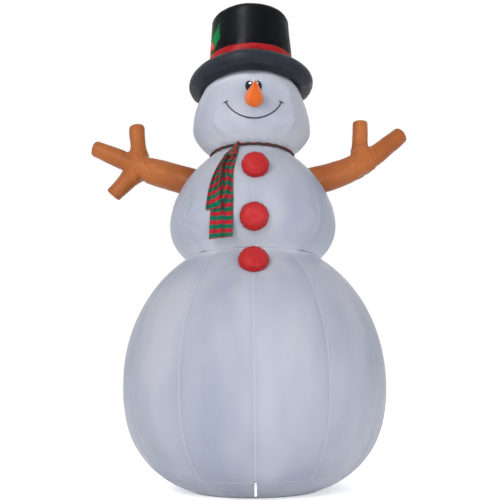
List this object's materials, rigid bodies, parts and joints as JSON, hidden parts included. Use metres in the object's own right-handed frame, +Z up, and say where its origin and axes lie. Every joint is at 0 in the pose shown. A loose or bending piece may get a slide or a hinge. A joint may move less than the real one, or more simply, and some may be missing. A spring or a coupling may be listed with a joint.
{
  "type": "inflatable yard snowman",
  "caption": "Inflatable yard snowman of stacked balls with a top hat, branching arms, buttons and a striped scarf, fed by a blower behind the base.",
  "frame": {"origin": "centre of the base floor, on the ground below the balls' common axis", "axes": "+Z up along the balls' axis, -Y is the front with the face, +Y is the back with the blower and zipper, +X to the right in a front view"},
  "size_m": [4.166, 3.1998, 6.1001],
  "materials": {
    "white_nylon": "thin coated nylon, slightly bluish white",
    "floor_fabric": "heavier woven floor fabric",
    "charcoal_nylon": "thin satin nylon",
    "red_nylon": "thin satin nylon",
    "green_nylon": "thin satin nylon",
    "berry_nylon": "thin satin nylon",
    "orange_nylon": "thin satin nylon",
    "brown_nylon": "thin satin nylon",
    "black_print": "printed nylon",
    "white_print": "printed nylon",
    "striped_cloth": "woven cloth with crosswise red and green stripes",
    "white_webbing": "woven webbing",
    "ring_steel": "plated wire",
    "zip_plastic": "satin",
    "zip_metal": "satin",
    "clamp_steel": "bright",
    "blower_plastic": "fine grain",
    "motor_steel": "semi gloss",
    "shaft_steel": "ground",
    "fan_plastic": "moulded",
    "gland_plastic": "moulded",
    "lamp_plastic": "frosted",
    "cable_rubber": "smooth"
  },
  "bodies": {
    "snowman": {"arm_left": "brown_nylon", "arm_left_twigs": "brown_nylon", "arm_right": "brown_nylon", "arm_right_twigs": "brown_nylon", "baffles": "white_nylon", "ballast_bags": "floor_fabric", "base_floor": "floor_fabric", "base_panels": "white_nylon", "base_skirt": "white_nylon", "blower_clamp": "clamp_steel", "blower_grille": "blower_plastic", "blower_housing_front": "blower_plastic", "blower_housing_rear": "blower_plastic", "blower_motor": "motor_steel", "blower_screws": "clamp_steel", "blower_sleeve": "white_nylon", "blower_stand": "blower_plastic", "button_bottom": "red_nylon", "button_middle": "red_nylon", "button_top": "red_nylon", "cable_clips": "zip_plastic", "cable_gland": "gland_plastic", "eye_highlights": "white_print", "eyes": "black_print", "hat_band": "red_nylon", "hat_brim": "charcoal_nylon", "hat_crown": "charcoal_nylon", "hat_seam_ring": "charcoal_nylon", "hat_top": "charcoal_nylon", "head_panels": "white_nylon", "holly_berries": "berry_nylon", "holly_leaves": "green_nylon", "lamp_globes": "lamp_plastic", "lamp_sockets": "gland_plastic", "light_cable": "cable_rubber", "light_strap": "white_webbing", "motor_spider": "motor_steel", "mouth": "black_print", "nose": "orange_nylon", "scarf_knot": "striped_cloth", "scarf_wrap": "striped_cloth", "stake_anchors": "white_webbing", "tether_tabs": "white_webbing", "torso_panels": "white_nylon", "zipper_chain": "zip_plastic", "zipper_facing": "white_nylon", "zipper_tapes": "white_webbing"},
    "fan": {"impeller": "fan_plastic", "motor_shaft": "shaft_steel"},
    "zipper_slider_body": {"zipper_slider": "zip_metal"},
    "zipper_pull_body": {"zipper_pull": "zip_metal"},
    "long_tail": {"scarf_tail_long": "striped_cloth"},
    "short_tail": {"scarf_tail_short": "striped_cloth"},
    "left_ring": {"tether_ring_left": "ring_steel"},
    "right_ring": {"tether_ring_right": "ring_steel"},
    "rear_ring": {"tether_ring_rear": "ring_steel"},
    "front_loop": {"stake_loop_front": "white_webbing"},
    "rear_left_loop": {"stake_loop_rear_left": "white_webbing"},
    "rear_right_loop": {"stake_loop_rear_right": "white_webbing"}
  },
  "joints": [
    {"name": "fan_spin", "type": "hinge", "parent": "snowman", "child": "fan", "pos_m": [0, 1.516, 0.19], "axis": [0, 1, 0], "continuous": true},
    {"name": "zipper_slide", "type": "slide", "parent": "snowman", "child": "zipper_slider_body", "axis": [0, 0, -1], "range_m": [0, 0.3]},
    {"name": "zipper_pull_flip", "type": "hinge", "parent": "zipper_slider_body", "child": "zipper_pull_body", "pos_m": [0, 1.607, 1.466], "axis": [1, 0, 0], "range_deg": [0, 170]},
    {"name": "long_tail_lift", "type": "hinge", "parent": "snowman", "child": "long_tail", "pos_m": [-0.21372, -0.65778, 3.994], "axis": [-0.9511, 0.309, 0], "range_deg": [0, 60]},
    {"name": "short_tail_lift", "type": "hinge", "parent": "snowman", "child": "short_tail", "pos_m": [-0.33531, -0.60491, 3.994], "axis": [-0.8746, 0.4848, 0], "range_deg": [0, 60]},
    {"name": "tether_ring_swing_left", "type": "hinge", "parent": "snowman", "child": "left_ring", "pos_m": [-1.02468, 0, 3.49], "axis": [0, 1, 0], "range_deg": [0, 140]},
    {"name": "tether_ring_swing_right", "type": "hinge", "parent": "snowman", "child": "right_ring", "pos_m": [1.02468, 0, 3.49], "axis": [0, -1, 0], "range_deg": [0, 140]},
    {"name": "tether_ring_swing_rear", "type": "hinge", "parent": "snowman", "child": "rear_ring", "pos_m": [0, 1.02468, 3.49], "axis": [1, 0, 0], "range_deg": [0, 140]},
    {"name": "stake_loop_swing_front", "type": "hinge", "parent": "snowman", "child": "front_loop", "pos_m": [0, -1.174, 0.188], "axis": [-1, 0, 0], "range_deg": [0, 90]},
    {"name": "stake_loop_swing_rear_left", "type": "hinge", "parent": "snowman", "child": "rear_left_loop", "pos_m": [-1.01671, 0.587, 0.188], "axis": [0.5, 0.866, 0], "range_deg": [0, 90]},
    {"name": "stake_loop_swing_rear_right", "type": "hinge", "parent": "snowman", "child": "rear_right_loop", "pos_m": [1.01671, 0.587, 0.188], "axis": [0.5, -0.866, 0], "range_deg": [0, 90]}
  ]
}
